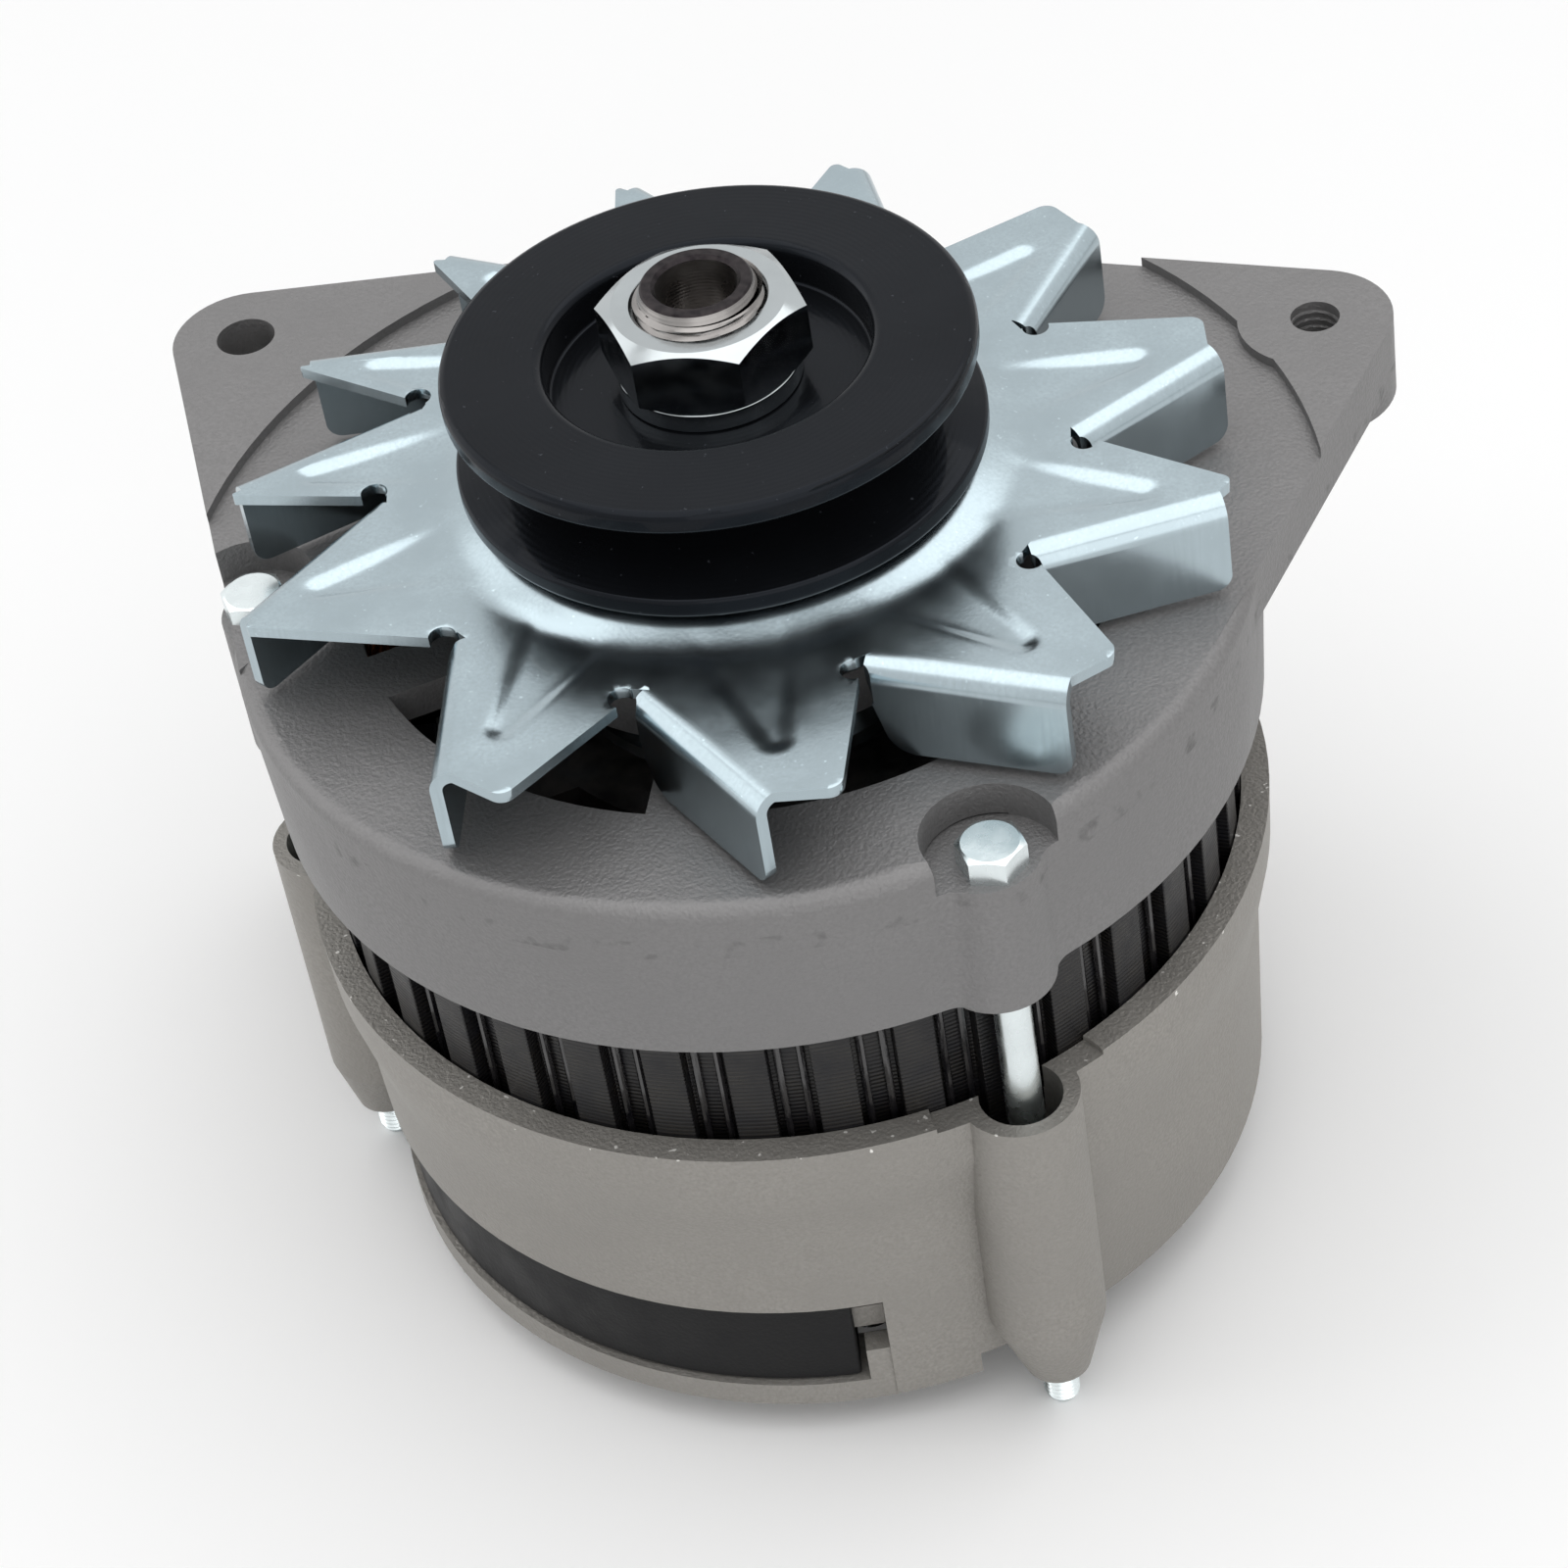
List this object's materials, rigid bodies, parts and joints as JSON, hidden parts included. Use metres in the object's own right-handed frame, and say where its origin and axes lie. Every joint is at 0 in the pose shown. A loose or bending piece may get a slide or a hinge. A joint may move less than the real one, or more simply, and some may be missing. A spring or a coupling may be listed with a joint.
{
  "type": "alternator",
  "caption": "Belt-driven alternator with a folded sheet fan, a V-belt pulley, two cast brackets clamped round a laminated stator, pivot and adjusting ears.",
  "frame": {"origin": "on the shaft axis at the middle of the belt groove", "axes": "+Z along the shaft, out through the pulley nut; -X towards the two pivot holes"},
  "size_m": [0.1718, 0.1571, 0.152],
  "materials": {
    "blasted_aluminium": "shot-blasted casting",
    "rear_aluminium": "shot-blasted casting",
    "zinc_sheet": "bright zinc plating",
    "black_enamel": "glossy black enamel",
    "zinc_steel": "bright zinc plating",
    "shaft_steel": "turned and ground",
    "bearing_steel": "ground and polished",
    "varnished_core": "black varnish over sheet steel",
    "pole_iron": "forged and painted",
    "enamelled_copper": "enamelled wire",
    "ring_copper": "turned copper",
    "sink_aluminium": "stamped sheet",
    "black_moulding": "moulded, fine grain",
    "brown_moulding": "moulded, smooth",
    "carbon": "pressed carbon",
    "spring_steel": "drawn wire"
  },
  "bodies": {
    "housing": {"drive_end_bracket": "blasted_aluminium", "slip_ring_end_bracket": "rear_aluminium", "stator_core": "varnished_core", "stator_windings": "enamelled_copper", "through_bolts": "zinc_steel", "front_bearing_outer_ring": "bearing_steel", "bearing_retainer": "zinc_steel", "retainer_screws": "zinc_steel", "rear_bearing_outer_ring": "bearing_steel", "positive_heat_sink": "sink_aluminium", "negative_heat_sink": "sink_aluminium", "positive_diodes": "zinc_steel", "negative_diodes": "zinc_steel", "rectifier_spacers": "brown_moulding", "rectifier_screws": "zinc_steel", "output_stud": "zinc_steel", "output_bush": "brown_moulding", "output_nut": "zinc_steel", "phase_terminal": "zinc_steel", "phase_terminal_block": "brown_moulding", "rectifier_shield": "black_moulding", "brush_holder": "black_moulding", "regulator": "black_moulding", "regulator_screws": "zinc_steel", "upper_brush_spring": "spring_steel", "lower_brush_spring": "spring_steel", "pivot_bush": "zinc_steel"},
    "rotor": {"rotor_shaft": "shaft_steel", "claw_pole_front": "pole_iron", "claw_pole_rear": "pole_iron", "rotor_yoke": "pole_iron", "field_bobbin": "brown_moulding", "field_coil": "enamelled_copper", "thrust_collar": "shaft_steel", "fan_collar": "zinc_steel", "slip_rings": "ring_copper", "slip_ring_core": "brown_moulding", "fan": "zinc_sheet", "half_round_key": "shaft_steel", "pulley": "black_enamel", "spring_washer": "zinc_steel", "shaft_nut": "zinc_steel", "front_bearing_inner_ring": "bearing_steel", "rear_bearing_inner_ring": "bearing_steel"},
    "front_cage": {"front_bearing_balls": "bearing_steel"},
    "rear_cage": {"rear_bearing_balls": "bearing_steel"},
    "upper_brush": {"upper_brush": "carbon"},
    "lower_brush": {"lower_brush": "carbon"}
  },
  "joints": [
    {"name": "rotor_spin", "type": "hinge", "parent": "housing", "child": "rotor", "pos_m": [0, 0, 0], "axis": [0, 0, 1], "continuous": true},
    {"name": "front_cage_spin", "type": "hinge", "parent": "housing", "child": "front_cage", "pos_m": [0, 0, -0.034], "axis": [0, 0, 1], "continuous": true},
    {"name": "rear_cage_spin", "type": "hinge", "parent": "housing", "child": "rear_cage", "pos_m": [0, 0, -0.103], "axis": [0, 0, 1], "continuous": true},
    {"name": "upper_brush_slide", "type": "slide", "parent": "housing", "child": "upper_brush", "axis": [1, 0, 0], "range_m": [0, 0.003], "stiffness_N_per_m": 300, "springref_m": -0.01, "deforming": ["upper_brush_spring"]},
    {"name": "lower_brush_slide", "type": "slide", "parent": "housing", "child": "lower_brush", "axis": [1, 0, 0], "range_m": [0, 0.003], "stiffness_N_per_m": 300, "springref_m": -0.01, "deforming": ["lower_brush_spring"]}
  ],
  "couplings": [
    {"joint": "front_cage_spin", "follows": "rotor_spin", "ratio": 0.3641},
    {"joint": "rear_cage_spin", "follows": "rotor_spin", "ratio": 0.3659}
  ]
}
